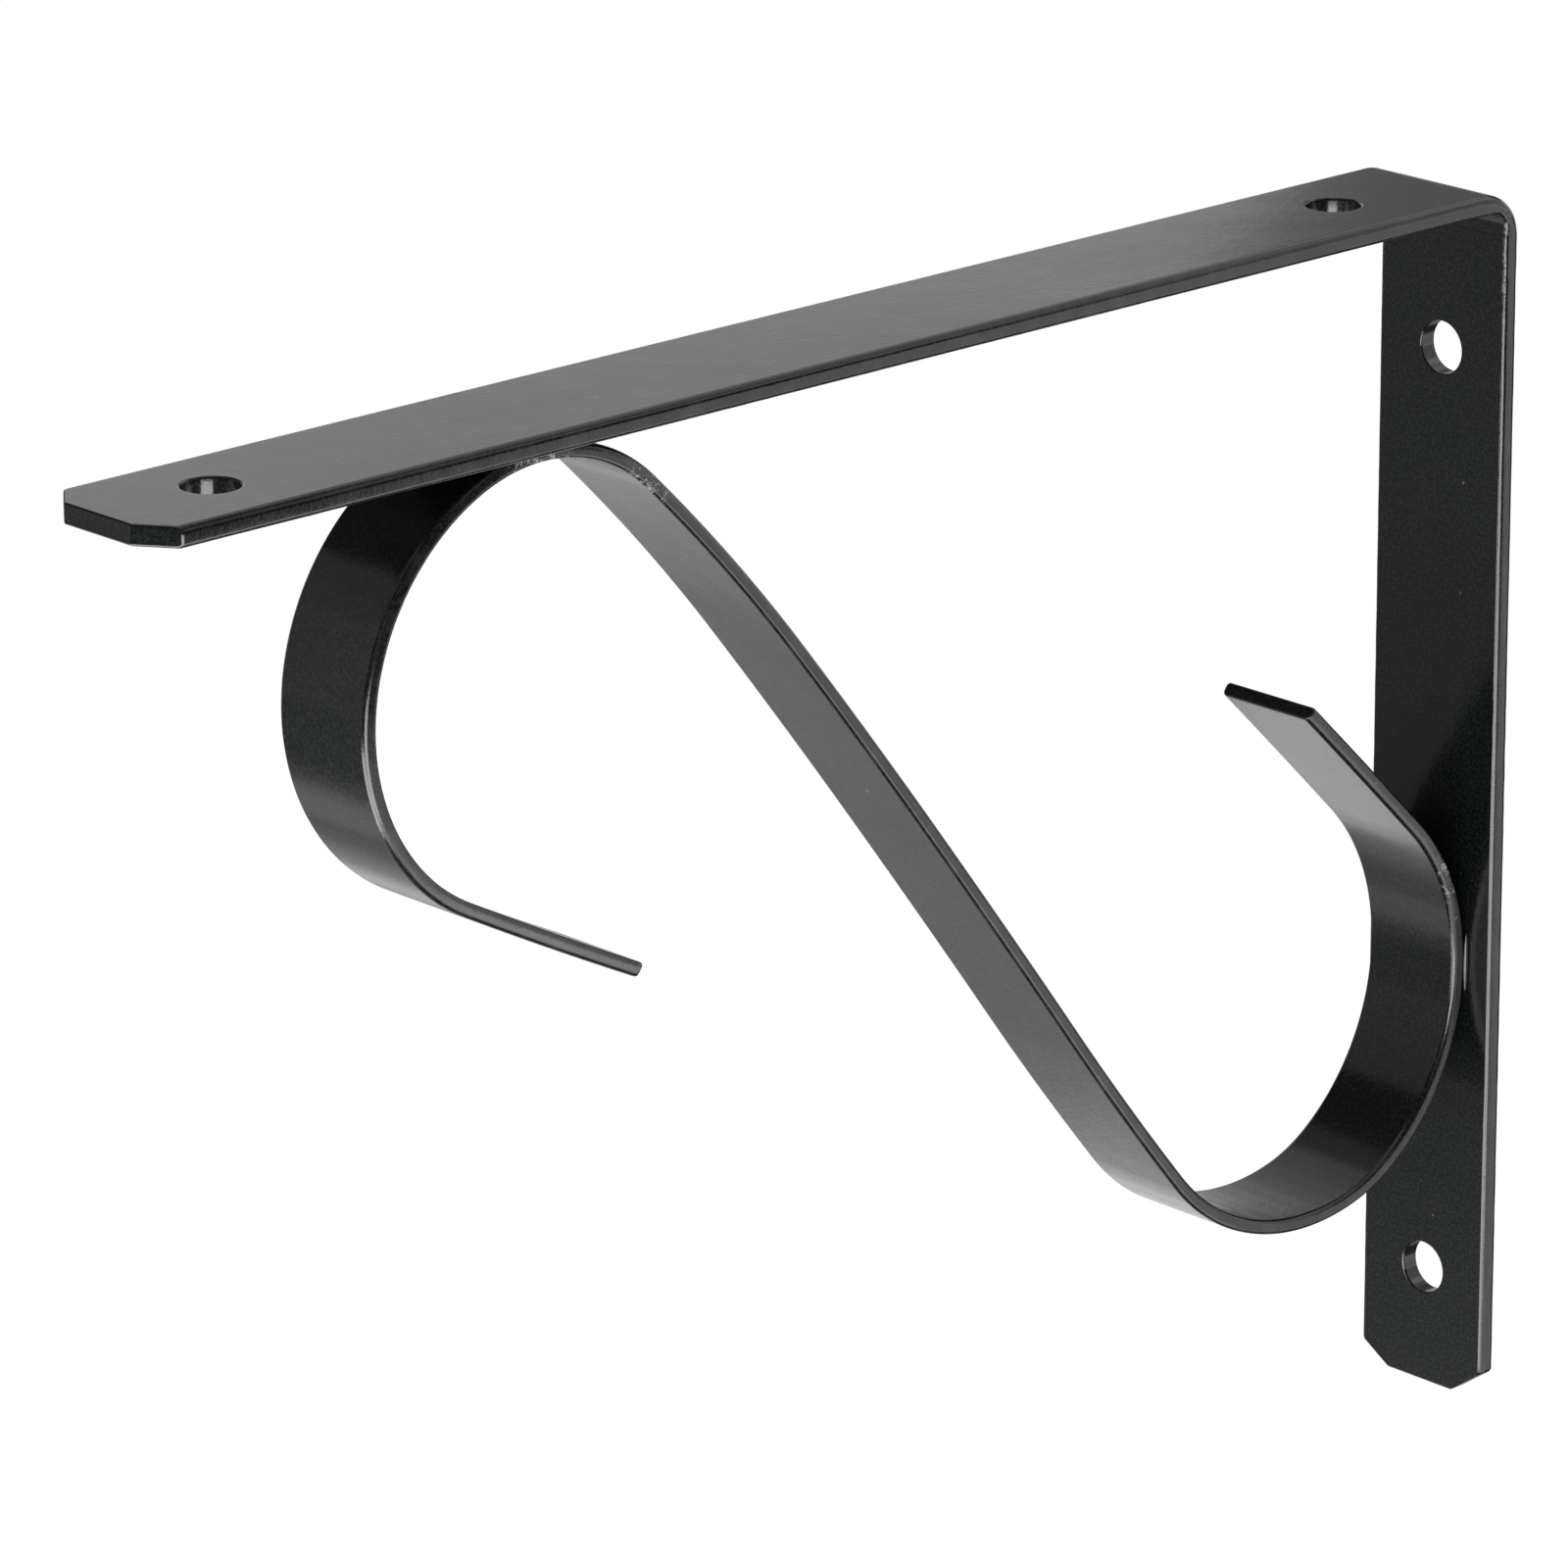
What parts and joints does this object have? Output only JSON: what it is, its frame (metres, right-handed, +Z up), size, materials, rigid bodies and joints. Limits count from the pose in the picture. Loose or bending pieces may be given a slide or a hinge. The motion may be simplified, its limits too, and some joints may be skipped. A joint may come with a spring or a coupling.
{
  "type": "angle bracket",
  "caption": "Black steel shelf bracket: a flat bar bent to a right angle, with a welded S-scroll brace and plain screw holes.",
  "frame": {"origin": "on the leg's back face, on its centreline, midway between the two wall screw holes", "axes": "+Y out of the back face into the wall, the arm reaches to -Y, +X across the bar, +Z up"},
  "size_m": [0.025, 0.255, 0.19],
  "materials": {
    "bar_coat": "satin black powder coat",
    "strip_coat": "satin black powder coat"
  },
  "bodies": {
    "root": {"angle_bar": "bar_coat", "scroll_strip": "strip_coat"}
  },
  "joints": []
}
